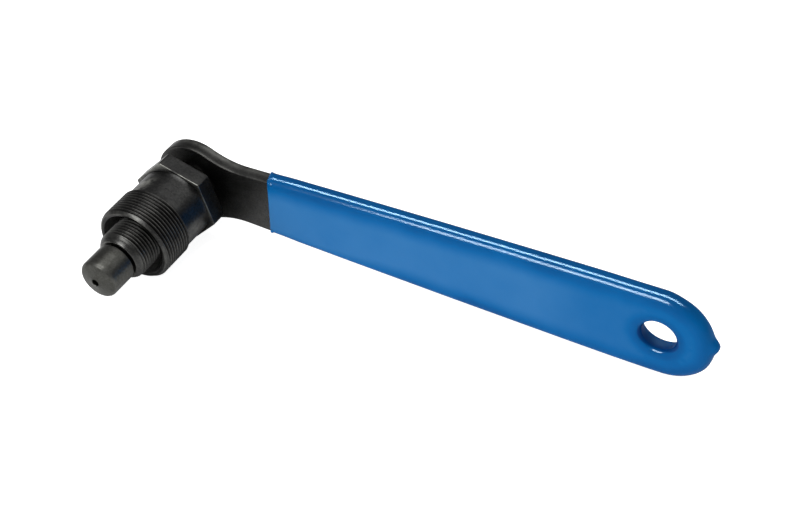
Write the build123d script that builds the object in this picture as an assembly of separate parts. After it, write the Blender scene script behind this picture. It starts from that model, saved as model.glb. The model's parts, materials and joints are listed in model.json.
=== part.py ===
from build123d import *
import math
import os

# Crank puller: a screw fixed square in a flat handle, a threaded body that runs
# on the screw, and a swivelling pad on the screw's end.
# Working frame while modelling (mm): X along the handle from the screw axis to
# the hang hole, Y across the handle, Z along the screw towards the pad, with
# Z = 0 on the handle's front face. At the end the whole tool is laid down on
# the three points it comes to rest on.

# ---- handle bar ----
BAR_THICK = 3.9
HEAD_R = 11.95
HEAD_X = 0.2
NECK_FILLET = 24.0
BAR_EDGE = ((0.0, 7.82), (76.0, 10.42), (137.2, 11.85))   # half width along the bar
BAR_REACH = 149.05
BAR_HOLE_X = 136.0
BAR_HOLE_R = 5.2
SCREW_SEAT_R = 5.0

# ---- dipped grip ----
GRIP_THICK = 5.1
GRIP_EDGE = ((81.5, 11.66), (137.2, 12.93))   # half width along the grip
GRIP_REACH = 150.15
GRIP_START_HALF = 9.79
GRIP_ROUND = 1.8
GRIP_START_X = 24.3          # at mid width
GRIP_START_SLANT = 0.088     # the dip line is not quite square
GRIP_HOLE_R = 4.5
GRIP_HOLE_LIP = 1.1
DRIP_R = 1.7
DRIP_X = 149.45
DRIP_Y = 0.7

# ---- drive screw ----
SCREW_R = 7.1                # crest radius
SCREW_PITCH = 1.0
SCREW_CONE_Z = 32.5          # thread runs out, cone begins
SCREW_FRONT_Z = 34.45
SCREW_FRONT_R = 5.75
REAR_HEAD_R = 6.2
REAR_HEAD_H = 0.7
STEM_R = 3.0
STEM_END_Z = 40.75
RING_SEAT_R = 2.4
RING_SEAT_Z = (38.0, 38.9)

# ---- threaded body ----
HEX_BACK_Z = 4.3
HEX_FRONT_Z = 9.0
HEX_AF = 22.0
HEX_TURN = -15.8             # degrees, one corner's direction
HEX_CHAMFER = 0.25
BODY_NECK_R = 10.4
THREAD_Z = (17.97, 28.2)
THREAD_R = 11.0
THREAD_CHAMFER = (0.77, 0.8) # along the axis, across it
RECESS_R = 9.2
RECESS_Z = 21.2
BODY_BORE_R = 7.15

# ---- swivel tip ----
TIP_BACK_Z = 35.2
TIP_R = 5.56
TIP_ROUND = 1.2
TIP_CROWN_R = 4.45
TIP_CROWN_Z = 43.45
TIP_APEX_Z = 44.5
TIP_HOLE_R = 1.0
TIP_HOLE_DEPTH = 2.6
TIP_BORE_R = 3.05
TIP_BORE_END_Z = 40.8
TIP_GROOVE_R = 3.75
TIP_GROOVE_Z = (37.9, 39.0)

# ---- snap ring ----
RING_R = (2.45, 3.55)
RING_Z = (38.05, 38.85)
RING_GAP = 1.6


def blade(top, bottom, reach):
    # tapering blade: two bowed edges and a rounded far end that reaches x = reach
    return make_face([ThreePointArc(*top), ThreePointArc(top[2], (reach, 0), bottom[2]),
                      ThreePointArc(*reversed(bottom)), Line(bottom[0], top[0])])


def mirrored(pts):
    return [(x, -y) for x, y in pts]


def revolved(points):
    # points are (radius, z)
    wire = Polyline(*[(r, 0, z) for r, z in points], close=True)
    return revolve(make_face(wire), Axis.Z, 360)


# ---- handle bar ----
flat = blade(BAR_EDGE, mirrored(BAR_EDGE), BAR_REACH) + Pos(HEAD_X, 0) * Circle(HEAD_R)
corners = [v for v in flat.vertices()
           if 3 < v.X < 14 and 6 < abs(v.Y) < 10]
flat = fillet(corners, NECK_FILLET)
flat = flat - Pos(BAR_HOLE_X, 0) * Circle(BAR_HOLE_R)
flat = flat - Circle(SCREW_SEAT_R)
handle_bar = extrude(flat, -BAR_THICK)

# ---- dipped grip ----
mid_z = -BAR_THICK / 2
grip_top = ((GRIP_START_X + GRIP_START_SLANT * GRIP_START_HALF, GRIP_START_HALF),) + GRIP_EDGE
grip_bottom = ((GRIP_START_X - GRIP_START_SLANT * GRIP_START_HALF, -GRIP_START_HALF + 0.06),) + tuple(mirrored(GRIP_EDGE))
grip_flat = blade(grip_top, grip_bottom, GRIP_REACH)
grip_outer = Pos(0, 0, mid_z - GRIP_THICK / 2) * extrude(grip_flat, GRIP_THICK)
upright = [e for e in grip_outer.edges().filter_by(Axis.Z) if e.center().X < 40]
grip_outer = fillet(upright, GRIP_ROUND)
rim_edges = [e for e in grip_outer.edges()
             if abs(abs(e.center().Z - mid_z) - GRIP_THICK / 2) < 1e-3]
grip_outer = fillet(rim_edges, GRIP_ROUND)
grip_outer = grip_outer + Pos(DRIP_X, DRIP_Y, mid_z) * Sphere(DRIP_R)
hole = Pos(BAR_HOLE_X, 0, mid_z) * Cylinder(GRIP_HOLE_R, 20)
grip_outer = grip_outer - hole
lips = [e for e in grip_outer.edges().filter_by(GeomType.CIRCLE)
        if abs(e.radius - GRIP_HOLE_R) < 1e-3]
grip_outer = fillet(lips, GRIP_HOLE_LIP)
handle_grip = grip_outer - handle_bar

# ---- drive screw ----
drive_screw = revolved([
    (0, -BAR_THICK - REAR_HEAD_H), (REAR_HEAD_R - 0.4, -BAR_THICK - REAR_HEAD_H),
    (REAR_HEAD_R, -BAR_THICK - REAR_HEAD_H + 0.4), (REAR_HEAD_R, -BAR_THICK),
    (SCREW_SEAT_R, -BAR_THICK), (SCREW_SEAT_R, 0), (SCREW_R, 0), (SCREW_R, SCREW_CONE_Z),
    (SCREW_FRONT_R, SCREW_FRONT_Z), (STEM_R, SCREW_FRONT_Z), (STEM_R, RING_SEAT_Z[0]),
    (RING_SEAT_R, RING_SEAT_Z[0]), (RING_SEAT_R, RING_SEAT_Z[1]), (STEM_R, RING_SEAT_Z[1]),
    (STEM_R, STEM_END_Z), (0, STEM_END_Z)])

# ---- threaded body ----
hex_r = HEX_AF / math.sqrt(3)
hexagon = Pos(0, 0, HEX_BACK_Z) * extrude(
    Rot(0, 0, HEX_TURN) * RegularPolygon(hex_r, 6, rotation=0), HEX_FRONT_Z - HEX_BACK_Z)
hex_trim = revolved([
    (0, HEX_BACK_Z), (hex_r - 2 * HEX_CHAMFER, HEX_BACK_Z), (hex_r, HEX_BACK_Z + HEX_CHAMFER),
    (hex_r, HEX_FRONT_Z - HEX_CHAMFER), (hex_r - 2 * HEX_CHAMFER, HEX_FRONT_Z), (0, HEX_FRONT_Z)])
turned = revolved([
    (0, HEX_FRONT_Z), (BODY_NECK_R, HEX_FRONT_Z), (BODY_NECK_R, THREAD_Z[0]),
    (THREAD_R - 0.2, THREAD_Z[0]), (THREAD_R, THREAD_Z[0] + 0.3),
    (THREAD_R, THREAD_Z[1] - THREAD_CHAMFER[0]),
    (THREAD_R - THREAD_CHAMFER[1], THREAD_Z[1]), (0, THREAD_Z[1])])
bored = revolved([
    (0, 0), (BODY_BORE_R, 0), (BODY_BORE_R, RECESS_Z - 0.6), (RECESS_R, RECESS_Z),
    (RECESS_R, THREAD_Z[1] - 0.3), (RECESS_R + 0.6, THREAD_Z[1] + 0.3), (0, THREAD_Z[1] + 0.3)])
puller_body = (hexagon & hex_trim) + turned - bored

# ---- swivel tip ----
slope = math.atan2(TIP_APEX_Z - TIP_CROWN_Z, TIP_CROWN_R)
round_pts = []
cz = TIP_CROWN_Z - TIP_ROUND * math.cos(slope)
cr = TIP_R - TIP_ROUND
n = 8
for i in range(n + 1):
    a = i / n * (math.pi / 2 - slope)
    round_pts.append((cr + TIP_ROUND * math.cos(a), cz + TIP_ROUND * math.sin(a)))
edge_r, edge_z = round_pts[-1]
hole_z = edge_z + (edge_r - TIP_HOLE_R) * math.tan(slope)
side = Line((TIP_R, 0, TIP_BACK_Z + 0.3), (round_pts[0][0], 0, round_pts[0][1]))
mid_a = (math.pi / 2 - slope) / 2
arc = ThreePointArc((round_pts[0][0], 0, round_pts[0][1]),
                    (cr + TIP_ROUND * math.cos(mid_a), 0, cz + TIP_ROUND * math.sin(mid_a)),
                    (edge_r, 0, edge_z))
rest_of = Polyline((edge_r, 0, edge_z), (TIP_HOLE_R, 0, hole_z), (TIP_HOLE_R, 0, hole_z - TIP_HOLE_DEPTH),
                   (0, 0, hole_z - TIP_HOLE_DEPTH - 0.5), (0, 0, TIP_BORE_END_Z), (TIP_BORE_R, 0, TIP_BORE_END_Z),
                   (TIP_BORE_R, 0, TIP_GROOVE_Z[1]), (TIP_GROOVE_R, 0, TIP_GROOVE_Z[1]),
                   (TIP_GROOVE_R, 0, TIP_GROOVE_Z[0]), (TIP_BORE_R, 0, TIP_GROOVE_Z[0]),
                   (TIP_BORE_R, 0, TIP_BACK_Z), (TIP_R - 0.3, 0, TIP_BACK_Z), (TIP_R, 0, TIP_BACK_Z + 0.3))
swivel_tip = revolve(make_face([side, arc, rest_of]), Axis.Z, 360)

# ---- snap ring ----
ring_flat = Circle(RING_R[1]) - Circle(RING_R[0]) - Pos(3, 0) * Rectangle(6, RING_GAP)
tip_snap_ring = Pos(0, 0, RING_Z[0]) * extrude(ring_flat, RING_Z[1] - RING_Z[0])

# ---- laid down on its three points of rest ----
# the hexagon's lowest front corner, the thread's front edge, and the grip's far end


def unit(v):
    m = math.sqrt(sum(c * c for c in v))
    return tuple(c / m for c in v)


def cross3(a, b):
    return (a[1] * b[2] - a[2] * b[1], a[2] * b[0] - a[0] * b[2], a[0] * b[1] - a[1] * b[0])


low_corner = math.radians(HEX_TURN - 60)
corner = (hex_r * math.cos(low_corner), hex_r * math.sin(low_corner), HEX_FRONT_Z - HEX_CHAMFER)
up = (0.0, 1.0, 0.0)
for _ in range(60):
    k = math.hypot(up[0], up[1])
    rim = (-THREAD_R * up[0] / k, -THREAD_R * up[1] / k, THREAD_Z[1] - THREAD_CHAMFER[0])
    far = (GRIP_EDGE[1][0], -(GRIP_EDGE[1][1] - GRIP_ROUND) - GRIP_ROUND * up[1],
           mid_z + (GRIP_THICK / 2 - GRIP_ROUND) - GRIP_ROUND * up[2])
    e1 = tuple(rim[i] - corner[i] for i in range(3))
    e2 = tuple(far[i] - corner[i] for i in range(3))
    nrm = unit(cross3(e1, e2))
    up = nrm if nrm[1] > 0 else tuple(-c for c in nrm)
ahead = unit(tuple((1.0, 0.0, 0.0)[i] - up[0] * up[i] for i in range(3)))
left = cross3(up, ahead)
lay = Plane(origin=(0, 0, 0), x_dir=(ahead[0], left[0], up[0]), z_dir=(ahead[2], left[2], up[2])).location

nodes = {
    "handle_bar": handle_bar,
    "handle_grip": handle_grip,
    "drive_screw": drive_screw,
    "puller_body": puller_body,
    "swivel_tip": swivel_tip,
    "tip_snap_ring": tip_snap_ring,
}
laid = {name: lay * shape for name, shape in nodes.items()}
boxes = [shape.bounding_box(optimal=True) for shape in laid.values()]
low = [min(getattr(b.min, c) for b in boxes) for c in "XYZ"]
high = [max(getattr(b.max, c) for b in boxes) for c in "XYZ"]
shift = (-(low[0] + high[0]) / 2, -(low[1] + high[1]) / 2, -low[2])
os.makedirs("parts", exist_ok=True)
for name, shape in laid.items():
    placed = Pos(*shift) * shape
    solids = placed.solids()
    one = solids[0] if len(solids) == 1 else Compound(children=list(solids))
    export_step(one, "parts/" + name + ".step")
print("ahead", ahead)
print("left", left)
print("up", up)
print("shift", shift)
print("size", [high[i] - low[i] for i in range(3)])
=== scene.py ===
import bpy
import bmesh
import json
import math
import numpy as np
from mathutils import Matrix, Vector, geometry


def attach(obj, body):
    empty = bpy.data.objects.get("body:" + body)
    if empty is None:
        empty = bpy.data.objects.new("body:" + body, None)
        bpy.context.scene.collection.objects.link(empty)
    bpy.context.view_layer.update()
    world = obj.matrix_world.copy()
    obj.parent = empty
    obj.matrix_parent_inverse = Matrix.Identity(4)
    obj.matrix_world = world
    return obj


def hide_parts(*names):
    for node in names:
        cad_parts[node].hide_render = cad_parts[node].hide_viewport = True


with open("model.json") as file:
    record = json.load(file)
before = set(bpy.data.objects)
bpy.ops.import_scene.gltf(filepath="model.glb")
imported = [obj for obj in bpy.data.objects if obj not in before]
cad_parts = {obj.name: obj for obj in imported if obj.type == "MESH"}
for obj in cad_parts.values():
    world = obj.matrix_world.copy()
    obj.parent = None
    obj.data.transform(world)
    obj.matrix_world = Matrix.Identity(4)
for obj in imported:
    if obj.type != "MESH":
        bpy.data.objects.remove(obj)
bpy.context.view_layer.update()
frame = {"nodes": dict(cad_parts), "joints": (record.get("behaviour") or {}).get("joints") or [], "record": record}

# ---------------------------------------------------------------- tool frame
# h along the handle, w across it, s along the screw towards the pad (mm), with
# s = 0 on the handle's front face.  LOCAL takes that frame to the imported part.
MM = 0.001
turn = {j["name"]: j for j in frame["joints"]}["screw_turn"]
spot = {m["name"]: m for m in frame["record"]["mounts"]}
axis_s = Vector(turn["axis"]).normalized()
origin = Vector(turn["pos_m"]) - 38.0 * MM * axis_s
reach = Vector(spot["hang_hole"]["pos_m"]) - origin
axis_h = (reach - reach.dot(axis_s) * axis_s).normalized()
axis_w = axis_s.cross(axis_h)
LOCAL = Matrix((
    (axis_h.x, axis_w.x, axis_s.x, origin.x),
    (axis_h.y, axis_w.y, axis_s.y, origin.y),
    (axis_h.z, axis_w.z, axis_s.z, origin.z),
    (0.0, 0.0, 0.0, 1.0)))

# ---------------------------------------------------------------- sizes (mm)
BAR_THICK = 3.9
HEAD_R, HEAD_H = 11.95, 0.2
NECK_FILLET = 24.0
BAR_EDGE = ((0.0, 7.82), (76.0, 10.42), (137.2, 11.85))
BAR_REACH = 149.05
HOLE_H = 136.05
END_H = 136.0
BAR_HOLE_R = 6.0
GRIP_HALF_THICK = 2.55
GRIP_EDGE = ((81.5, 11.66), (137.2, 12.93))
GRIP_REACH = 150.15
GRIP_START, GRIP_SLANT, GRIP_START_HALF = 24.3, 0.088, 9.79
GRIP_ROUND, GRIP_ROUND_BACK = 2.2, 1.85
# the hang hole as the coat leaves it, front (1) and back (-1): centre, half widths along and across, lip
GRIP_HOLE = {1: (136.3, 0.12, 4.55, 4.45, 1.4), -1: (136.4, -0.1, 5.4, 4.4, 1.2)}
MID_S = -BAR_THICK / 2
HEX_AF, HEX_TURN = 22.0, math.radians(-15.8)
HEX_BACK, HEX_FRONT = 4.3, 9.0
THREAD_BACK, THREAD_FRONT = 17.97, 28.2


# ---------------------------------------------------------------- mesh helpers
def smoothstep(x):
    x = np.clip(x, 0.0, 1.0)
    return x * x * (3.0 - 2.0 * x)


def piece_from(name, verts, faces, sharp_deg):
    me = bpy.data.meshes.new(name)
    me.from_pydata((np.asarray(verts, float) * MM).tolist(), [], faces)
    bm = bmesh.new()
    bm.from_mesh(me)
    bmesh.ops.remove_doubles(bm, verts=bm.verts, dist=2e-6)
    bmesh.ops.dissolve_degenerate(bm, edges=bm.edges, dist=1e-7)
    loose = [v for v in bm.verts if not v.link_faces]
    bmesh.ops.delete(bm, geom=loose, context="VERTS")
    bmesh.ops.recalc_face_normals(bm, faces=bm.faces)
    bm.to_mesh(me)
    bm.free()
    me.polygons.foreach_set("use_smooth", [True] * len(me.polygons))
    me.set_sharp_from_angle(angle=math.radians(sharp_deg))
    # each point keeps its place in the tool's own frame, for the materials
    co = np.zeros(len(me.vertices) * 3, np.float32)
    me.vertices.foreach_get("co", co)
    me.attributes.new("tool", "FLOAT_VECTOR", "POINT").data.foreach_set("vector", co)
    me.transform(LOCAL)
    ob = bpy.data.objects.new(name, me)
    bpy.context.scene.collection.objects.link(ob)
    return ob


def set_mark(ob, name, rule):
    # rule takes (h, w, s, r) arrays in mm and gives 0 to 1
    me = ob.data
    co = np.zeros(len(me.vertices) * 3, np.float32)
    me.attributes["tool"].data.foreach_get("vector", co)
    co = co.reshape(-1, 3) / MM
    val = rule(co[:, 0], co[:, 1], co[:, 2], np.hypot(co[:, 0], co[:, 1]))
    at = me.attributes.new(name, "FLOAT", "POINT")
    at.data.foreach_set("value", np.clip(val, 0.0, 1.0).astype(np.float32))


def turned_piece(name, sections, columns, sharp_deg, closed):
    # sections: list of (radius, s) pairs or of arrays sampled round the axis,
    # one row of points each.  The last column lies on the first one.
    theta = np.linspace(0.0, 2.0 * math.pi, columns + 1)
    rows = []
    for r, s in sections:
        r = np.broadcast_to(np.asarray(r, float), theta.shape)
        s = np.broadcast_to(np.asarray(s, float), theta.shape)
        rows.append(np.stack([r * np.cos(theta), r * np.sin(theta), s], axis=1))
    if closed:
        rows.append(rows[0])
    grid = np.concatenate(rows)
    m = columns + 1
    faces = []
    for i in range(len(rows) - 1):
        a, b = i * m, (i + 1) * m
        for k in range(columns):
            faces.append((a + k, a + k + 1, b + k + 1, b + k))
    return piece_from(name, grid, faces, sharp_deg)


def thread_rows(columns, low, high, pitch, lead, profile, limit):
    # profile: (phase, radius) breakpoints of one pitch, phase 0 to 1.
    # Rows climb one pitch a turn, the first crest lead pitches past low; limit(s)
    # is the envelope at the ends.
    theta = np.linspace(0.0, 2.0 * math.pi, columns + 1)
    climb = lead + theta / (2.0 * math.pi)
    ph = np.array([p for p, _ in profile] + [1.0 + profile[0][0]])
    rad = np.array([r for _, r in profile] + [profile[0][1]])
    turns = int(math.ceil((high - low) / pitch)) + 1
    rows = []
    for n in range(-2, turns + 1):
        for p, _ in profile:
            s = np.clip(low + pitch * (n + p + climb), low, high)
            phase = np.mod((s - low) / pitch - climb - ph[0], 1.0) + ph[0]
            r = np.interp(phase, ph, rad)
            rows.append((np.minimum(r, limit(s)), s))
    return rows


def outline_normals(pts):
    nxt, prv = np.roll(pts, -1, axis=0), np.roll(pts, 1, axis=0)
    t = nxt - prv
    t /= np.linalg.norm(t, axis=1)[:, None]
    return np.stack([t[:, 1], -t[:, 0]], axis=1)      # outward on a loop that runs anticlockwise


def even_loop(pts, step):
    closed = np.vstack([pts, pts[:1]])
    seg = np.linalg.norm(np.diff(closed, axis=0), axis=1)
    run = np.concatenate([[0.0], np.cumsum(seg)])
    n = int(round(run[-1] / step))
    at = np.linspace(0.0, run[-1], n + 1)[:-1]
    return np.stack([np.interp(at, run, closed[:, 0]), np.interp(at, run, closed[:, 1])], axis=1)


def arc3(p, q, r, n):
    # points on the circle through p, q, r, from p to r
    (ax, ay), (bx, by), (cx, cy) = p, q, r
    d = 2 * (ax * (by - cy) + bx * (cy - ay) + cx * (ay - by))
    ux = ((ax * ax + ay * ay) * (by - cy) + (bx * bx + by * by) * (cy - ay) + (cx * cx + cy * cy) * (ay - by)) / d
    uy = ((ax * ax + ay * ay) * (cx - bx) + (bx * bx + by * by) * (ax - cx) + (cx * cx + cy * cy) * (bx - ax)) / d
    rad = math.hypot(ax - ux, ay - uy)
    a0, a1, a2 = (math.atan2(y - uy, x - ux) for x, y in (p, q, r))
    span = (a2 - a0) % (2 * math.pi)
    if (a1 - a0) % (2 * math.pi) > span:
        span -= 2 * math.pi
    a = a0 + span * np.linspace(0, 1, n)
    return np.stack([ux + rad * np.cos(a), uy + rad * np.sin(a)], axis=1), (ux, uy, rad)


def sheet_between(outer, holes, spacing):
    # triangles that fill the outer loop less the holes, with points spread inside
    loops = [outer] + holes
    pts = [Vector(p) for loop in loops for p in loop]
    edges, at = [], 0
    for loop in loops:
        n = len(loop)
        edges += [(at + i, at + (i + 1) % n) for i in range(n)]
        at += n
    lo, hi = outer.min(0), outer.max(0)
    gx = np.arange(lo[0] + spacing / 2, hi[0], spacing)
    gy = np.arange(lo[1] + spacing / 2, hi[1], spacing * 0.866)
    inner = []
    for j, y in enumerate(gy):
        for x in gx + (spacing / 2 if j % 2 else 0.0):
            p = np.array((x, y))
            if not inside(p, outer) or any(inside(p, h) for h in holes):
                continue
            if min(np.min(np.sum((loop - p) ** 2, axis=1)) for loop in loops) < (0.6 * spacing) ** 2:
                continue
            inner.append(p)
    pts += [Vector(p) for p in inner]
    v, _, f, _, _, _ = geometry.delaunay_2d_cdt(pts, edges, [], 0, 1e-6)
    xy = np.array([(p.x, p.y) for p in v])
    keep = []
    for t in f:
        c = xy[list(t)].mean(axis=0)
        if inside(c, outer) and not any(inside(c, h) for h in holes):
            keep.append(tuple(t))
    return xy, keep


def inside(p, loop):
    x, y = loop[:, 0], loop[:, 1]
    x2, y2 = np.roll(x, -1), np.roll(y, -1)
    cross = (y > p[1]) != (y2 > p[1])
    with np.errstate(divide="ignore", invalid="ignore"):
        xi = x + (p[1] - y) * (x2 - x) / (y2 - y)
    return bool(np.count_nonzero(cross & (p[0] < xi)) % 2)


class Build:
    # gathers loops and sheets into one mesh
    def __init__(self):
        self.v, self.f = [], []

    def loops(self, rings):
        base = [self.add(r) for r in rings]
        n = len(rings[0])
        for a, b in zip(base, base[1:]):
            for i in range(n):
                j = (i + 1) % n
                self.f.append((a + i, a + j, b + j, b + i))

    def add(self, pts):
        at = len(self.v)
        self.v.extend(map(tuple, pts))
        return at

    def sheet(self, xy, tris, height):
        at = self.add(np.column_stack([xy, height(xy)]))
        self.f.extend(tuple(at + i for i in t) for t in tris)


# ---------------------------------------------------------------- threaded body
COLS = 384
theta = np.linspace(0.0, 2.0 * math.pi, COLS + 1)


def hex_radius(inset, trim, corner_round=0.3):
    apothem = HEX_AF / 2 - inset
    d = np.mod(theta - HEX_TURN, math.pi / 3)
    from_corner = np.minimum(d, math.pi / 3 - d)
    flat = apothem / np.cos(math.pi / 6 - from_corner)
    k = (apothem - corner_round) / math.cos(math.pi / 6)
    under = corner_round ** 2 - (k * np.sin(from_corner)) ** 2
    arc = k * np.cos(from_corner) + np.sqrt(np.maximum(under, 0.0))
    on_arc = from_corner < math.atan2(corner_round * math.sin(math.pi / 6),
                                      k + corner_round * math.cos(math.pi / 6))
    r = np.where(on_arc, arc, flat)
    return np.minimum(r, HEX_AF / math.sqrt(3) - trim)


def body_limit(s):
    back = 10.42 + (s - THREAD_BACK) * 2.2
    front = 10.2 + (THREAD_FRONT - s) * 1.0
    return np.minimum(np.minimum(back, front), 10.98)


BODY_THREAD = [(-0.06, 10.97), (0.06, 10.97), (0.11, 10.90), (0.41, 10.38),
               (0.46, 10.34), (0.54, 10.34), (0.59, 10.38), (0.89, 10.90)]
body_sections = [
    (7.16, 5.2), (7.75, 4.42), (7.9, HEX_BACK),
    (hex_radius(0.14, 0.42), HEX_BACK), (hex_radius(0.04, 0.30), HEX_BACK + 0.05), (hex_radius(0.0, 0.14), HEX_BACK + 0.14),
    (hex_radius(0.0, 0.0), HEX_BACK + 0.30), (hex_radius(0.0, 0.0), HEX_FRONT - 0.30), (hex_radius(0.0, 0.08), HEX_FRONT - 0.13),
    (hex_radius(0.02, 0.16), HEX_FRONT - 0.05), (hex_radius(0.10, 0.24), HEX_FRONT),
    (10.58, HEX_FRONT), (10.45, HEX_FRONT + 0.05), (10.40, HEX_FRONT + 0.18),
    (10.40, 10.5), (10.40, 11.5), (10.40, 12.2), (10.40, 12.9), (10.40, 13.6), (10.40, 15.0), (10.40, 16.6), (10.40, 17.75), (10.42, THREAD_BACK)]
body_sections += thread_rows(COLS, THREAD_BACK, THREAD_FRONT, 1.0, 0.35, BODY_THREAD, body_limit)
body_sections += [
    (10.15, THREAD_FRONT), (9.52, THREAD_FRONT), (9.38, THREAD_FRONT - 0.04), (9.25, THREAD_FRONT - 0.16), (9.20, THREAD_FRONT - 0.35),
    (9.20, 21.5), (9.05, 21.2), (7.3, 20.72), (7.16, 20.55)]
body = turned_piece("puller_body_turned", body_sections, COLS, 40, True)
# lighter marks on the body, partly rubbed crests and edges, partly painted highlight: the crest lines, the lighter
# front ring and counterbore, the line along the hex's front edge and the two patches on the neck (about 111° and -4°)
# are painted highlights
set_mark(body, "wear_and_painted_light", lambda h, w, s, r: np.maximum.reduce([
    0.13 * ((s > THREAD_BACK) & (r > 10.93)),
    0.10 * ((s > THREAD_FRONT - 0.6) & (r > 9.9)),
    0.07 * ((s > 21.0) & (r < 9.3)),
    1.00 * np.exp(-((np.degrees(np.arctan2(w, h)) - 111.0) / 12.5) ** 4) * smoothstep((s - 11.8) / 1.8) * (s < THREAD_BACK),
    0.11 * np.exp(-((np.degrees(np.arctan2(w, h)) + 4.0) / 11.0) ** 4) * smoothstep((s - 11.6) / 1.8) * (s < THREAD_BACK),
    0.34 * ((s < HEX_FRONT + 0.01) & (s > HEX_FRONT - 0.2) & (r > 10.8)),
    0.12 * ((s < HEX_BACK + 0.1) & (r > 10.8))]).astype(float))

# painted shade in the bottom of the threads
set_mark(body, "deep", lambda h, w, s, r: np.clip((10.78 - r) / 0.30, 0.0, 1.0) * (s > THREAD_BACK + 0.4) * (s < THREAD_FRONT - 0.7) * (r > 10.2))
# the counterbore is left as the bath leaves it, dull all over
set_mark(body, "matt", lambda h, w, s, r: 1.0 * ((s > 20.6) & (s < THREAD_FRONT - 0.3) & (r < 9.3)))

# ---------------------------------------------------------------- drive screw
SCOLS = 224


def screw_limit(s):
    start = 6.15 + (s - 0.36) * 1.2
    u = np.clip((s - 32.45) / 2.0, 0.0, 1.0)
    cone = 7.09 - 0.46 * u - 0.88 * u * u                        # a slightly bellied nose
    return np.minimum(np.minimum(start, cone), 7.09)


SCREW_THREAD = [(-0.06, 7.09), (0.06, 7.09), (0.11, 7.02), (0.41, 6.48),
                (0.46, 6.43), (0.54, 6.43), (0.59, 6.48), (0.89, 7.02)]
screw_sections = [(0.0, -4.55), (2.0, -4.56), (4.9, -4.6), (5.6, -4.6), (5.95, -4.52), (6.14, -4.32), (6.2, -4.1), (6.2, -3.92),
                  (5.0, -3.9), (5.0, 0.02), (6.1, 0.02), (6.14, 0.3)]
nose = smoothstep((np.arange(0, 4000) * 0.01 - 32.55) / 0.35)
screw_rows = []
for r, s in thread_rows(SCOLS, 0.36, 34.3, 1.0, -0.17, SCREW_THREAD, screw_limit):
    k = np.interp(s, np.arange(0, 4000) * 0.01, nose)
    screw_rows.append((r * (1 - k) + screw_limit(s) * k, s))
screw_sections += screw_rows
screw_sections += [(5.80, 34.38), (5.72, 34.43), (5.60, 34.45), (3.25, 34.45), (3.07, 34.52), (3.0, 34.7), (3.0, 37.98), (2.42, 38.0),
                   (2.42, 38.9), (3.0, 38.92), (3.0, 40.4), (2.7, 40.7), (0.0, 40.75)]
screw = turned_piece("drive_screw_threaded", screw_sections, SCOLS, 40, False)
# painted highlight lines on the thread crests and a painted highlight band on the nose, with rubbed edges at the
# nose's front and on the rear head
set_mark(screw, "wear_and_painted_light", lambda h, w, s, r: np.maximum.reduce([
    0.90 * ((s > 0.5) & (s < 32.5) & (r > 7.03)),
    0.22 * ((s > 32.7) & (s < 33.5) & (r > 5.0)),
    1.0 * ((s > 34.35) & (r > 5.5)),
    0.6 * ((s < -4.2) & (r > 5.5))]).astype(float))
# painted shade in the bottom of the threads
set_mark(screw, "deep", lambda h, w, s, r: 0.65 * np.clip((6.78 - r) / 0.30, 0.0, 1.0) * (s > 0.6) * (s < 32.6) * (r > 6.3))

# ---------------------------------------------------------------- swivel tip
TIP_CROWN, TIP_APEX = 43.45, 44.5
slope = math.atan2(TIP_APEX - TIP_CROWN, 4.45)
round_r, side_r = 1.2, 5.56
cz = TIP_CROWN - round_r * math.cos(slope)
cr = side_r - round_r
tip_sections = [(0.0, 40.8), (2.9, 40.8), (3.05, 40.7), (3.05, 39.0), (3.75, 39.0), (3.75, 37.9), (3.05, 37.9), (3.05, 35.3),
                (3.15, 35.2), (5.28, 35.2), (5.44, 35.25), (5.53, 35.37), (5.56, 35.55), (5.56, 38.0), (5.56, 40.0)]
for i in range(10):
    a = i / 9 * (math.pi / 2 - slope)
    tip_sections.append((cr + round_r * math.cos(a), cz + round_r * math.sin(a)))
edge_r, edge_s = tip_sections[-1]
for r in (3.6, 2.4, 1.35):
    tip_sections.append((r, edge_s + (edge_r - r) * math.tan(slope)))
hole_s = edge_s + (edge_r - 1.0) * math.tan(slope)
tip_sections += [(1.12, hole_s - 0.02), (1.02, hole_s - 0.12), (1.0, hole_s - 0.25), (1.0, hole_s - 2.5), (0.0, hole_s - 3.05)]
tip = turned_piece("swivel_tip_turned", tip_sections, 192, 35, False)
set_mark(tip, "wear_and_painted_light", lambda h, w, s, r: np.maximum.reduce([
    0.5 * (np.exp(-((s - 42.7) / 0.5) ** 2) * (r > 4.6)),
    0.6 * ((s < 35.45) & (r > 5.2))]).astype(float))

# ---------------------------------------------------------------- handle bar
top_arc, (ux, uy, urad) = arc3(*BAR_EDGE, 2000)
# the fillet that joins the head's circle to the bowed edge
best = None
for h in np.linspace(8.0, 40.0, 6401):
    # centre of a NECK_FILLET circle outside the bowed edge, above it
    wy = uy + math.sqrt((urad + NECK_FILLET) ** 2 - (h - ux) ** 2)
    gap = abs(math.hypot(h - HEAD_H, wy) - (HEAD_R + NECK_FILLET))
    if best is None or gap < best[0]:
        best = (gap, h, wy)
_, fh, fw = best
t_head = np.array((HEAD_H + (fh - HEAD_H) * HEAD_R / (HEAD_R + NECK_FILLET), fw * HEAD_R / (HEAD_R + NECK_FILLET)))
k = urad / (urad + NECK_FILLET)
t_edge = np.array((ux + (fh - ux) * k, uy + (fw - uy) * k))
a0 = math.atan2(t_head[1], t_head[0] - HEAD_H)
head = np.stack([HEAD_H + HEAD_R * np.cos(np.linspace(a0, math.pi, 400)), HEAD_R * np.sin(np.linspace(a0, math.pi, 400))], axis=1)
b0 = math.atan2(t_edge[1] - fw, t_edge[0] - fh)
b1 = math.atan2(t_head[1] - fw, t_head[0] - fh)
bb = np.linspace(b0, b1, 300)
neck = np.stack([fh + NECK_FILLET * np.cos(bb), fw + NECK_FILLET * np.sin(bb)], axis=1)
run = top_arc[top_arc[:, 0] > t_edge[0]]
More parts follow.
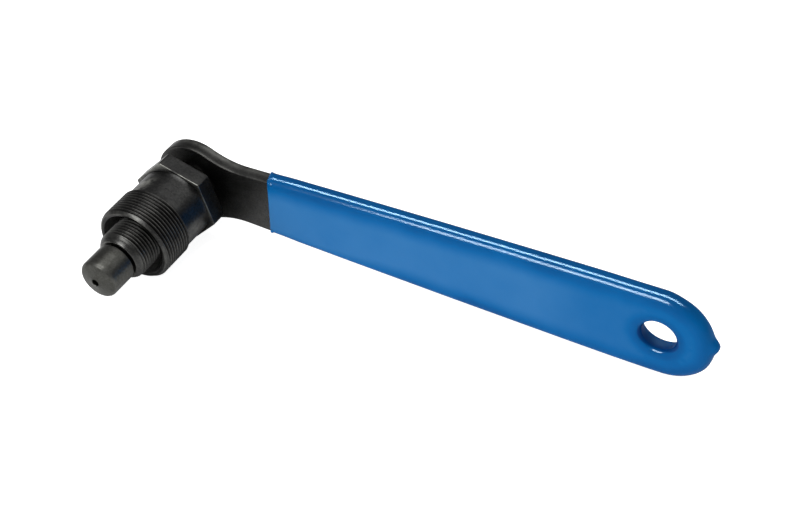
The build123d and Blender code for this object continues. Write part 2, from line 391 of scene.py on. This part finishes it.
far, _ = arc3(BAR_EDGE[2], (BAR_REACH, 0.0), (BAR_EDGE[2][0], -BAR_EDGE[2][1]), 400)
upper = np.vstack([run[::-1], neck, head])                    # far end to the head's back
lower = upper[::-1] * np.array((1.0, -1.0))
loop = np.vstack([upper, lower[1:], far[::-1][1:-1]])
bar_loop = even_loop(loop, 0.55)
nrm = outline_normals(bar_loop)
# well clear of the coat's skin where it is covered
bar_loop = bar_loop - nrm * (0.7 * smoothstep((bar_loop[:, 0] - 36.0) / 20.0))[:, None]
hole_ring = lambda r, n=96: np.stack([HOLE_H + r * np.cos(np.linspace(0, 2 * math.pi, n, endpoint=False)),
                                      r * np.sin(np.linspace(0, 2 * math.pi, n, endpoint=False))], axis=1)
E = 0.32
edge_steps = [(E * (1 - math.sin(a)), -E * (1 - math.cos(a))) for a in np.linspace(0, math.pi / 2, 5)]
bar = Build()
rings = []
for off, drop in edge_steps:
    rings.append(np.column_stack([bar_loop - nrm * off, np.full(len(bar_loop), drop)]))
for part in (0.2, 0.35, 0.5, 0.65, 0.8):
    rings.append(np.column_stack([bar_loop, np.full(len(bar_loop), -BAR_THICK * part)]))
for off, drop in edge_steps[::-1]:
    rings.append(np.column_stack([bar_loop - nrm * off, np.full(len(bar_loop), -BAR_THICK - drop)]))
flat_in = bar_loop - nrm * 1.1
rings.insert(0, np.column_stack([flat_in, np.zeros(len(flat_in))]))
rings.append(np.column_stack([flat_in, np.full(len(flat_in), -BAR_THICK)]))
bar.loops(rings)
bar.loops([np.column_stack([hole_ring(BAR_HOLE_R), np.full(96, s)]) for s in (0.0, -BAR_THICK)])
xy, tris = sheet_between(flat_in, [hole_ring(BAR_HOLE_R)], 3.0)
bar.sheet(xy, tris, lambda p: np.zeros(len(p)))
bar.sheet(xy, tris, lambda p: np.full(len(p), -BAR_THICK))
bar_ob = piece_from("handle_bar_plate", bar.v, bar.f, 40)


SHEAR = (0.0, 0.2, 0.35, 0.5, 0.65, 0.8, 1.0)


def bar_side(h, w):
    # how far a point lies in from the sheared side
    return np.array([np.min(np.hypot(bar_loop[:, 0] - a, bar_loop[:, 1] - b)) for a, b in zip(h, w)])


def bar_rub_and_sheen(h, w, s, r):
    # the sheared side is lighter most towards the back, its corners a little, the faces not at all: partly rubbed,
    # partly painted highlight
    d = bar_side(h, w)
    side = np.interp(-s / BAR_THICK, SHEAR, (0.30, 0.20, 0.10, 0.40, 1.0, 1.0, 0.70))
    return np.where(d < 0.16, side, np.where(d < 0.28, 0.05, 0.0))


def bar_side_shade(h, w, s, r):
    # the front half of the side darker, most at the head, where it is painted shade beside the hex
    side = np.interp(-s / BAR_THICK, SHEAR, (0.70, 0.85, 1.0, 0.65, 0.0, 0.0, 0.0))
    return np.where(bar_side(h, w) < 0.16, side * (0.10 + 0.45 * (1.0 - smoothstep((h - 9.0) / 7.0))), 0.0)


set_mark(bar_ob, "wear_and_painted_light", bar_rub_and_sheen)
set_mark(bar_ob, "deep", bar_side_shade)

# ---------------------------------------------------------------- dipped grip
g_top = ((GRIP_START + GRIP_SLANT * GRIP_START_HALF, GRIP_START_HALF),) + GRIP_EDGE
g_bot = ((GRIP_START - GRIP_SLANT * GRIP_START_HALF, -GRIP_START_HALF + 0.06),) + tuple((x, -y) for x, y in GRIP_EDGE)
up_run, _ = arc3(*g_top, 1500)
dn_run, _ = arc3(*g_bot, 1500)
end_run, _ = arc3(g_top[2], (GRIP_REACH, 0.0), g_bot[2], 500)
CORNER = 1.2


def rounded_start(top, bottom):
    # two small corner arcs and the slanted dip line between them
    def corner_arc(c, d_in, d_out):
        t = CORNER
        p, q = c - d_in * t, c + d_out * t
        u = np.linspace(0, 1, 24)[:, None]
        return (1 - u) ** 2 * p + 2 * u * (1 - u) * c + u ** 2 * q
    along = (bottom - top) / np.linalg.norm(bottom - top)
    d1 = np.array((-1.0, 0.0))
    first = corner_arc(top, d1, along)
    last = corner_arc(bottom, along, -d1)
    mid = np.linspace(first[-1], last[0], 200)[1:-1]
    return np.vstack([first, mid, last])


top0, bot0 = np.array(g_top[0]), np.array(g_bot[0])
start_run = rounded_start(top0, bot0)
up_cut = up_run[up_run[:, 0] > start_run[0, 0] + 0.05]
dn_cut = dn_run[dn_run[:, 0] > start_run[-1, 0] + 0.05]
# anticlockwise: top edge from the far end to the start, down the dip line, out along the bottom, round the end
grip_loop = np.vstack([up_cut[::-1], start_run, dn_cut, end_run[::-1][1:-1]])
# the dipped end is a little lopsided: degrees round the hang hole, and mm off the plain arc
LEAN = ((-170, 0.0), (-150, 0.05), (-120, 0.08), (-100, 0.02), (-85, -0.13), (-70, -0.16), (-50, -0.12), (-30, 0.05), (-10, -0.10),
        (10, -0.35), (30, -0.40), (50, -0.39), (66, -0.42), (85, -0.02), (100, 0.0), (170, 0.0))
deg = np.linspace(-180.0, 180.0, 721)
lean = np.interp(deg, [p[0] for p in LEAN], [p[1] for p in LEAN])
lean = np.convolve(lean, np.hanning(25) / np.hanning(25).sum(), "same")
spoke = grip_loop - np.array((END_H, 0.0))
around = np.degrees(np.arctan2(spoke[:, 1], spoke[:, 0]))
grip_loop = grip_loop + spoke / np.linalg.norm(spoke, axis=1)[:, None] * np.interp(around, deg, lean)[:, None]
full = 0.14 * smoothstep((132.0 - grip_loop[:, 0]) / 12.0) * smoothstep((grip_loop[:, 0] - 27.0) / 6.0)
grip_loop = grip_loop + np.sign(grip_loop[:, 1:]) * full[:, None] * np.array((0.0, 1.0))
grip_loop = even_loop(grip_loop, 0.42)
g_n = outline_normals(grip_loop)
for _ in range(6):
    g_n = 0.5 * g_n + 0.25 * (np.roll(g_n, 1, axis=0) + np.roll(g_n, -1, axis=0))
g_n /= np.linalg.norm(g_n, axis=1)[:, None]
# the run of the drip at the end, a soft bump in the outline
swell = 1.22 * np.exp(-np.abs((grip_loop[:, 1] - 0.55) / 1.75) ** 2.2) * (grip_loop[:, 0] > 140)
start_like = smoothstep((-g_n[:, 0] - 0.35) / 0.5)            # 1 on the dip line, 0 on the sides
across, deep = {}, {}                                         # rounding, front (1) and back (-1)
for side, size in ((1, GRIP_ROUND), (-1, GRIP_ROUND_BACK)):
    across[side] = size * (1 - start_like) + 0.62 * start_like
    deep[side] = size * (1 - start_like) + 0.85 * start_like


def grip_crown(d):
    # how far the face lies below its middle, by distance from the outline
    return 0.36 * np.exp(-np.maximum(d, 0.0) / 2.3)


def wavy(xy):
    x, y = xy[:, 0], xy[:, 1]
    return 0.008 * np.sin(x * 0.21 + 0.7) * np.cos(y * 0.33 + 0.4) + 0.005 * np.sin(x * 0.47 - y * 0.29 + 1.3)


grip = Build()
g_steps = np.linspace(0.0, math.pi / 2, 13)


def grip_ring(a, side):
    off = across[side] * (1 - math.sin(a))
    face = GRIP_HALF_THICK - grip_crown(across[side])
    s = face - deep[side] * (1 - math.cos(a)) * (face / GRIP_HALF_THICK)
    s = s - grip_crown(across[side]) / 2.3 * across[side] * math.sin(a)          # leaves the face at the face's own slope
    proud = swell * math.sin(a) ** 4
    p = grip_loop - g_n * (off - proud)[:, None]
    s = s + wavy(p) * math.cos(a)
    return np.column_stack([p, MID_S + side * s])


def hole_gap(h, w, side):
    # about how far a point lies from the hole's edge
    ch, cw, along, over, _ = GRIP_HOLE[side]
    return np.hypot(h - ch, (w - cw) * along / over) - along


def by_hole(h, w, side):
    # 0 at the hole's lip, where the face is level, 1 away from it
    return smoothstep((hole_gap(h, w, side) - GRIP_HOLE[side][4]) / 3.0)


def border_ring(width, side):
    # even rows on the face along the rim, closing up towards the dip line
    off = across[side] + width * smoothstep((grip_loop[:, 0] - GRIP_START - 4.0) / 9.0)
    p = grip_loop - g_n * off[:, None]
    return np.column_stack([p, MID_S + side * (GRIP_HALF_THICK - grip_crown(off) * by_hole(p[:, 0], p[:, 1], side) + wavy(p))])


BORDER = (2.0, 1.6, 1.25, 0.95, 0.7, 0.45, 0.22)
front_rings = [border_ring(b, 1) for b in BORDER] + [grip_ring(a, 1) for a in g_steps]
back_rings = [border_ring(b, -1) for b in BORDER] + [grip_ring(a, -1) for a in g_steps]
grip.loops(front_rings + back_rings[::-1])
HN = 120
lip = np.linspace(0.0, math.pi / 2, 9)


def oval_ring(side, extra):
    ch, cw, along, over, _ = GRIP_HOLE[side]
    a = np.linspace(0, 2 * math.pi, HN, endpoint=False)
    return np.stack([ch + (along + extra) * np.cos(a), cw + (over + extra) * np.sin(a)], axis=1)


def lip_rings(side):
    rings, soft = [], GRIP_HOLE[side][4]
    for a in lip:
        p = oval_ring(side, soft * (1 - math.sin(a)))
        s = GRIP_HALF_THICK - soft * (1 - math.cos(a)) + wavy(p) * math.cos(a)
        rings.append(np.column_stack([p, MID_S + side * s]))
    return rings


front_lip, back_lip = lip_rings(1), lip_rings(-1)
LIP_BORDER = (1.6, 1.2, 0.85, 0.55, 0.28)


def face_height(p, side, inner):
    d = np.array([np.min(np.hypot(grip_loop[:, 0] - q[0], grip_loop[:, 1] - q[1])) for q in p])
    reach_in = np.hypot(*(inner - grip_loop).T)
    dip = np.array([reach_in[np.argmin(np.hypot(inner[:, 0] - q[0], inner[:, 1] - q[1]))] for q in p])
    return GRIP_HALF_THICK - grip_crown(np.maximum(d, dip)) * by_hole(p[:, 0], p[:, 1], side) + wavy(p)


for side, rings in ((1, front_rings), (-1, back_rings)):
    inner = rings[0][:, :2]
    collar = []
    for b in LIP_BORDER:
        p = oval_ring(side, GRIP_HOLE[side][4] + b)
        collar.append(np.column_stack([p, MID_S + side * face_height(p, side, inner)]))
    if side == 1:
        front_lip = collar + front_lip
    else:
        back_lip = collar + back_lip
    xy, tris = sheet_between(inner, [oval_ring(side, GRIP_HOLE[side][4] + LIP_BORDER[0])], 1.15)
    grip.sheet(xy, tris, lambda p: MID_S + side * face_height(p, side, inner))
grip.loops(front_lip + back_lip[::-1])
# it was dipped a little out of square, so the coat starts sooner on the back
skin = np.array(grip.v)
skin[:, 0] -= 0.30 * (0.6 - skin[:, 2]) * (1.0 - smoothstep((skin[:, 0] - GRIP_START - 1.0) / 13.0))
grip_ob = piece_from("handle_grip_dipped", skin, grip.f, 60)


def from_edge(h, w, s, r):
    # 0 on the rounded rim, 1 on the open face, where the coat is thickest; the rims and the far end come out a deeper
    # blue, painted shade along with the thinner coat there
    rim = grip_loop[start_like < 0.3]
    d = np.array([np.min(np.hypot(rim[:, 0] - a, rim[:, 1] - b)) for a, b in zip(h, w)])
    d = np.minimum(d, hole_gap(h, w, 1) * 1.4)
    low = smoothstep((-w - 1.0) / 4.0) * (1.0 - smoothstep((h - 38.0) / 30.0))     # the lower rim's band is narrower near the start
    return smoothstep((d - 1.6 + 0.9 * low) / (5.6 - 2.8 * low)) * (1.0 - 0.45 * smoothstep((h - 100.0) / 26.0))


set_mark(grip_ob, "wear_and_painted_light", from_edge)
def in_hole(h, w, s, r):
    return smoothstep((0.25 - np.minimum(hole_gap(h, w, 1), hole_gap(h, w, -1))) / 0.5)


def hole_wall(h, w, s, r):
    # the wall of the hole and its back lip, not the glossy front lip
    return in_hole(h, w, s, r) * (1.0 - smoothstep((s - MID_S - GRIP_HALF_THICK + GRIP_HOLE[1][4]) / 0.4))


# painted shade inside the hang hole
set_mark(grip_ob, "deep", in_hole)
set_mark(grip_ob, "matt", hole_wall)


# ---------------------------------------------------------------- materials
def new_material(name):
    m = bpy.data.materials.new(name)
    m.use_nodes = True
    return m, m.node_tree.nodes, m.node_tree.links


def black_oxide(name, dark, light, rough, turned, grain=1.0, worn_and_highlight=(0.17, 0.17, 0.16), dull=False):
    m, n, l = new_material(name)
    p = n["Principled BSDF"]
    p.inputs["Metallic"].default_value = 1.0
    if dull:
        matt = n.new("ShaderNodeAttribute")
        matt.attribute_name = "matt"
        bare = n.new("ShaderNodeMapRange")
        bare.inputs["To Min"].default_value = 1.0
        bare.inputs["To Max"].default_value = 0.0
        l.new(matt.outputs["Fac"], bare.inputs["Value"])
        l.new(bare.outputs["Result"], p.inputs["Metallic"])
    tc = n.new("ShaderNodeAttribute")
    tc.attribute_name = "tool"
    # blotches left by the blackening bath
    blotch = n.new("ShaderNodeTexNoise")
    blotch.inputs["Scale"].default_value = 260.0
    blotch.inputs["Detail"].default_value = 6.0
    blotch.inputs["Roughness"].default_value = 0.62
    l.new(tc.outputs["Vector"], blotch.inputs["Vector"])
    tone = n.new("ShaderNodeValToRGB")
    tone.color_ramp.elements[0].position = 0.40
    tone.color_ramp.elements[0].color = (*dark, 1)
    tone.color_ramp.elements[1].position = 0.62
    tone.color_ramp.elements[1].color = (*light, 1)
    speck = n.new("ShaderNodeTexNoise")
    speck.inputs["Scale"].default_value = 1900.0
    speck.inputs["Detail"].default_value = 2.0
    l.new(tc.outputs["Vector"], speck.inputs["Vector"])
    mottle = n.new("ShaderNodeMix")
    mottle.inputs["Factor"].default_value = 0.55
    l.new(blotch.outputs["Fac"], mottle.inputs["A"])
    l.new(speck.outputs["Fac"], mottle.inputs["B"])
    l.new(mottle.outputs["Result"], tone.inputs["Fac"])
    # machining marks: stretched noise, round the axis or along the bar
    marks_map = n.new("ShaderNodeMapping")
    marks_map.inputs["Scale"].default_value = (60.0, 60.0, 2600.0) if turned else (90.0, 1500.0, 900.0)
    l.new(tc.outputs["Vector"], marks_map.inputs["Vector"])
    marks = n.new("ShaderNodeTexNoise")
    marks.inputs["Scale"].default_value = 1.0
    marks.inputs["Detail"].default_value = 4.0
    l.new(marks_map.outputs["Vector"], marks.inputs["Vector"])
    fine = n.new("ShaderNodeTexNoise")
    fine.inputs["Scale"].default_value = 3200.0
    fine.inputs["Detail"].default_value = 3.0
    l.new(tc.outputs["Vector"], fine.inputs["Vector"])
    # edges where the coat has rubbed thin, and painted highlights: the crest lines, the hex edge line and the neck
    # patches take this lighter colour too
    wear_and_painted_light = n.new("ShaderNodeAttribute")
    wear_and_painted_light.attribute_name = "wear_and_painted_light"
    rub_and_sheen_patches = n.new("ShaderNodeMapRange")
    rub_and_sheen_patches.inputs["From Min"].default_value = 0.35
    rub_and_sheen_patches.inputs["From Max"].default_value = 0.62
    l.new(blotch.outputs["Fac"], rub_and_sheen_patches.inputs["Value"])
    amount = n.new("ShaderNodeMath")
    amount.operation = "MULTIPLY"
    l.new(wear_and_painted_light.outputs["Fac"], amount.inputs[0])
    l.new(rub_and_sheen_patches.outputs["Result"], amount.inputs[1])
    colour = n.new("ShaderNodeMix")
    colour.data_type = "RGBA"
    l.new(amount.outputs["Value"], colour.inputs["Factor"])
    l.new(tone.outputs["Color"], colour.inputs["A"])
    colour.inputs["B"].default_value = (*worn_and_highlight, 1)
    # painted shade in the bottom of the threads, and the darker side of the bar with painted shade at its head
    shade_mark = n.new("ShaderNodeAttribute")
    shade_mark.attribute_name = "deep"
    painted_shade = n.new("ShaderNodeMix")
    painted_shade.data_type = "RGBA"
    l.new(shade_mark.outputs["Fac"], painted_shade.inputs["Factor"])
    l.new(colour.outputs["Result"], painted_shade.inputs["A"])
    painted_shade.inputs["B"].default_value = (0.009, 0.009, 0.008, 1)
    l.new(painted_shade.outputs["Result"], p.inputs["Base Color"])
    rr = n.new("ShaderNodeMapRange")
    rr.inputs["From Min"].default_value = 0.3
    rr.inputs["From Max"].default_value = 0.7
    rr.inputs["To Min"].default_value = rough[0]
    rr.inputs["To Max"].default_value = rough[1]
    l.new(marks.outputs["Fac"], rr.inputs["Value"])
    l.new(rr.outputs["Result"], p.inputs["Roughness"])
    b1 = n.new("ShaderNodeBump")
    b1.inputs["Strength"].default_value = 0.10 * grain
    b1.inputs["Distance"].default_value = 0.00006
    l.new(marks.outputs["Fac"], b1.inputs["Height"])
    b2 = n.new("ShaderNodeBump")
    b2.inputs["Strength"].default_value = 0.14 * grain
    b2.inputs["Distance"].default_value = 0.00004
    l.new(fine.outputs["Fac"], b2.inputs["Height"])
    l.new(b1.outputs["Normal"], b2.inputs["Normal"])
    l.new(b2.outputs["Normal"], p.inputs["Normal"])
    return m


def dipped_vinyl(name):
    m, n, l = new_material(name)
    p = n["Principled BSDF"]
    p.inputs["Metallic"].default_value = 0.0
    p.inputs["Specular IOR Level"].default_value = 0.06
    tc = n.new("ShaderNodeAttribute")
    tc.attribute_name = "tool"
    cloud = n.new("ShaderNodeTexNoise")
    cloud.inputs["Scale"].default_value = 55.0
    cloud.inputs["Detail"].default_value = 4.0
    l.new(tc.outputs["Vector"], cloud.inputs["Vector"])
    # thinner, deeper blue along the rims and towards the far end, partly painted shade, a paler cloudy blue on the
    # faces
    rim = n.new("ShaderNodeAttribute")
    rim.attribute_name = "wear_and_painted_light"
    depth = n.new("ShaderNodeMath")
    depth.operation = "MULTIPLY_ADD"
    depth.inputs[1].default_value = 0.75
    l.new(rim.outputs["Fac"], depth.inputs[0])
    part = n.new("ShaderNodeMapRange")
    part.inputs["From Min"].default_value = 0.3
    part.inputs["From Max"].default_value = 0.7
    part.inputs["To Max"].default_value = 0.25
    l.new(cloud.outputs["Fac"], part.inputs["Value"])
    l.new(part.outputs["Result"], depth.inputs[2])
    tone = n.new("ShaderNodeValToRGB")
    tone.color_ramp.elements[0].position = 0.08
    tone.color_ramp.elements[0].color = (0.0008, 0.088, 0.285, 1)
    tone.color_ramp.elements[1].position = 0.92
    tone.color_ramp.elements[1].color = (0.0300, 0.174, 0.432, 1)
    bend = tone.color_ramp.elements.new(0.30)
    bend.color = (0.0010, 0.122, 0.365, 1)
    l.new(depth.outputs["Value"], tone.inputs["Fac"])
    # painted shade, deepest down in the hang hole
    hole_shade_mark = n.new("ShaderNodeAttribute")
    hole_shade_mark.attribute_name = "deep"
    shade = n.new("ShaderNodeMix")
    shade.data_type = "RGBA"
    l.new(hole_shade_mark.outputs["Fac"], shade.inputs["Factor"])
    l.new(tone.outputs["Color"], shade.inputs["A"])
    shade.inputs["B"].default_value = (0.0010, 0.040, 0.165, 1)
    l.new(shade.outputs["Result"], p.inputs["Base Color"])
    rr = n.new("ShaderNodeMapRange")
    rr.inputs["To Min"].default_value = 0.13
    rr.inputs["To Max"].default_value = 0.18
    l.new(cloud.outputs["Fac"], rr.inputs["Value"])
    # duller down in the hole
    wall = n.new("ShaderNodeAttribute")
    wall.attribute_name = "matt"
    dull = n.new("ShaderNodeMix")
    l.new(wall.outputs["Fac"], dull.inputs["Factor"])
    l.new(rr.outputs["Result"], dull.inputs["A"])
    dull.inputs["B"].default_value = 0.62
    l.new(dull.outputs["Result"], p.inputs["Roughness"])
    # the faint uneven skin of a dipped coat
    peel = n.new("ShaderNodeTexNoise")
    peel.inputs["Scale"].default_value = 420.0
    peel.inputs["Detail"].default_value = 1.0
    l.new(tc.outputs["Vector"], peel.inputs["Vector"])
    b2 = n.new("ShaderNodeBump")
    b2.inputs["Strength"].default_value = 0.015
    b2.inputs["Distance"].default_value = 0.00006
    l.new(peel.outputs["Fac"], b2.inputs["Height"])
    l.new(b2.outputs["Normal"], p.inputs["Normal"])
    return m


def spring_steel(name):
    m, n, l = new_material(name)
    p = n["Principled BSDF"]
    p.inputs["Metallic"].default_value = 1.0
    tc = n.new("ShaderNodeTexCoord")
    noise = n.new("ShaderNodeTexNoise")
    noise.inputs["Scale"].default_value = 900.0
    noise.inputs["Detail"].default_value = 4.0
    l.new(tc.outputs["Object"], noise.inputs["Vector"])
    tone = n.new("ShaderNodeValToRGB")
    tone.color_ramp.elements[0].color = (0.10, 0.10, 0.105, 1)
    tone.color_ramp.elements[1].color = (0.20, 0.20, 0.20, 1)
    l.new(noise.outputs["Fac"], tone.inputs["Fac"])
    l.new(tone.outputs["Color"], p.inputs["Base Color"])
    rr = n.new("ShaderNodeMapRange")
    rr.inputs["To Min"].default_value = 0.22
    rr.inputs["To Max"].default_value = 0.42
    l.new(noise.outputs["Fac"], rr.inputs["Value"])
    l.new(rr.outputs["Result"], p.inputs["Roughness"])
    return m


looks = {
    bar_ob: black_oxide("black_steel_bar", (0.052, 0.052, 0.051), (0.086, 0.086, 0.083), (0.30, 0.42), False),
    screw: black_oxide("black_steel_screw", (0.054, 0.054, 0.053), (0.088, 0.088, 0.084), (0.26, 0.38), True),
    # the body's pale light colour is painted highlight on its neck patches, crest lines and hex edge
    body: black_oxide("black_steel_body", (0.038, 0.038, 0.038), (0.062, 0.062, 0.060), (0.27, 0.38), True, worn_and_highlight=(0.62, 0.62, 0.565), dull=True),
    tip: black_oxide("black_steel_tip", (0.062, 0.062, 0.056), (0.092, 0.092, 0.084), (0.30, 0.42), True, 1.3),
    grip_ob: dipped_vinyl("blue_vinyl_dip"),
}
for ob, mat in looks.items():
    ob.data.materials.append(mat)
ring_node = frame["nodes"]["tip_snap_ring"]
ring_node.data.materials.clear()
ring_node.data.materials.append(spring_steel("spring_steel_ring"))

for ob, rider, node, slot in (
        (bar_ob, "handle", "handle_bar", "black_steel"),
        (grip_ob, "handle", "handle_grip", "blue_vinyl"),
        (screw, "handle", "drive_screw", "black_steel_screw"),
        (body, "body", "puller_body", "black_steel_body"),
        (tip, "tip", "swivel_tip", "black_steel_tip")):
    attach(ob, rider)
    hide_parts(node)

# ---------------------------------------------------------------- floor
# a white light table, so that it stays white round the object
fm = bmesh.new()
for x, y in ((-2.5, -2.5), (2.5, -2.5), (2.5, 2.5), (-2.5, 2.5)):
    fm.verts.new((x, y, 0.0))
fm.faces.new(fm.verts)
floor_mesh = bpy.data.meshes.new("floor")
fm.to_mesh(floor_mesh)
fm.free()
floor = bpy.data.objects.new("floor", floor_mesh)
bpy.context.scene.collection.objects.link(floor)
m, n, l = new_material("pale_floor")
p = n["Principled BSDF"]
p.inputs["Base Color"].default_value = (0.60, 0.60, 0.60, 1)
p.inputs["Roughness"].default_value = 0.9
p.inputs["Specular IOR Level"].default_value = 0.0
p.inputs["Emission Color"].default_value = (1.0, 1.0, 1.0, 1)
glow = n.new("ShaderNodeLightPath")
lift = n.new("ShaderNodeMath")
lift.operation = "MULTIPLY"
lift.inputs[1].default_value = 0.90
l.new(glow.outputs["Is Camera Ray"], lift.inputs[0])
l.new(lift.outputs["Value"], p.inputs["Emission Strength"])
floor_mesh.materials.append(m)

# ---------------------------------------------------------------- light
ROOM_LIGHT, ROOM_SEEN, ROOM_MIRRORED = 0.55, 1.0, 0.26
world = bpy.data.worlds.new("studio")
bpy.context.scene.world = world
world.use_nodes = True
wn, wl = world.node_tree.nodes, world.node_tree.links
back = wn["Background"]
back.inputs["Color"].default_value = (1.0, 1.0, 1.0, 1)
back.inputs["Strength"].default_value = ROOM_LIGHT
path = wn.new("ShaderNodeLightPath")
seen = wn.new("ShaderNodeMath")
seen.operation = "MULTIPLY_ADD"
seen.inputs[1].default_value = ROOM_SEEN - ROOM_LIGHT
seen.inputs[2].default_value = ROOM_LIGHT
wl.new(path.outputs["Is Camera Ray"], seen.inputs[0])
mirrored = wn.new("ShaderNodeMath")
mirrored.operation = "MULTIPLY_ADD"
mirrored.inputs[1].default_value = ROOM_MIRRORED - ROOM_LIGHT
wl.new(path.outputs["Is Glossy Ray"], mirrored.inputs[0])
wl.new(seen.outputs["Value"], mirrored.inputs[2])
wl.new(mirrored.outputs["Value"], back.inputs["Strength"])


def soft_light(name, place, aim, size, radiance, lights_up=True, mirrored=True, colour=(1.0, 1.0, 1.0), only=None):
    d = bpy.data.lights.new(name, "AREA")
    d.shape = "RECTANGLE"
    d.size, d.size_y = size
    d.energy = radiance * math.pi * size[0] * size[1]
    d.color = colour
    o = bpy.data.objects.new(name, d)
    o.location = place
    o.rotation_euler = (Vector(aim) - Vector(place)).to_track_quat("-Z", "Y").to_euler()
    o.visible_diffuse = lights_up
    o.visible_glossy = mirrored
    o.visible_camera = False
    if only:
        # a panel set for the vinyl alone, or for the steel alone
        group = bpy.data.collections.new(name + "_set")
        for piece in only:
            group.objects.link(piece)
        o.light_linking.receiver_collection = group
    bpy.context.scene.collection.objects.link(o)
    return o


def facing(name, low, high, **kw):
    # a level or upright panel between two corners, facing the object
    low, high = Vector(low), Vector(high)
    mid = (low + high) / 2
    if abs(high.z - low.z) < 1e-6:
        size, aim = (high.x - low.x, high.y - low.y), (mid.x, mid.y, mid.z - 1)
    else:
        size, aim = (high.x - low.x, high.z - low.z), (mid.x, mid.y + 1, mid.z)
    o = soft_light(name, mid, aim, size, **kw)
    if abs(high.z - low.z) < 1e-6:
        o.rotation_euler = (0.0, 0.0, 0.0)
    return o


steel = (bar_ob, screw, body, tip, ring_node)
cool, plain = (0.65, 1.0, 1.17), (0.80, 1.0, 1.05)
facing("vinyl_overhead", (-0.46, -0.05, 0.60), (0.30, 0.20, 0.60), radiance=128.0, lights_up=False, colour=cool, only=(grip_ob,))
soft_light("vinyl_front", (-0.12, -0.50, 0.325), (-0.02, 0.0, 0.02), (0.39, 0.26), 106.0, lights_up=False, colour=plain, only=(grip_ob,))
facing("steel_overhead", (-0.27, -0.32, 0.60), (0.18, 0.25, 0.60), radiance=3.2, lights_up=False, only=steel)
soft_light("steel_front", (-0.16, -0.50, 0.33), (-0.06, 0.0, 0.02), (0.25, 0.25), 6.0, lights_up=False, only=steel)
facing("steel_back", (0.15, 0.33, 0.60), (0.75, 0.75, 0.60), radiance=1.0, lights_up=False, only=steel)
soft_light("floor_key", (-0.05, -0.25, 1.0), (-0.02, 0.0, 0.0), (0.6, 0.6), 8.0, mirrored=False, only=(floor,))
soft_light("front_fill", (-0.45, -0.90, 0.45), (0.0, 0.0, 0.01), (0.9, 0.7), 3.4, mirrored=False)

# ---------------------------------------------------------------- camera
cam_data = bpy.data.cameras.new("view")
cam_data.sensor_fit = "HORIZONTAL"
cam_data.sensor_width = 36.0
cam_data.lens = 1678.907 * 36.0 / 800.0
cam_data.clip_start = 0.01
cam_data.clip_end = 20.0
cam = bpy.data.objects.new("view", cam_data)
bpy.context.scene.collection.objects.link(cam)
right = (0.86195109, -0.07604327, -0.50125616)
down = (0.28838243, -0.73962617, 0.60810255)
ahead = (-0.41698428, -0.66870812, -0.61559204)
stand = (244.85491, 286.48568, 266.07015)
cam.matrix_world = LOCAL @ Matrix((
    (right[0], -down[0], -ahead[0], stand[0] * MM),
    (right[1], -down[1], -ahead[1], stand[1] * MM),
    (right[2], -down[2], -ahead[2], stand[2] * MM),
    (0.0, 0.0, 0.0, 1.0)))
bpy.context.scene.camera = cam
bpy.context.scene.view_settings.view_transform = "Standard"
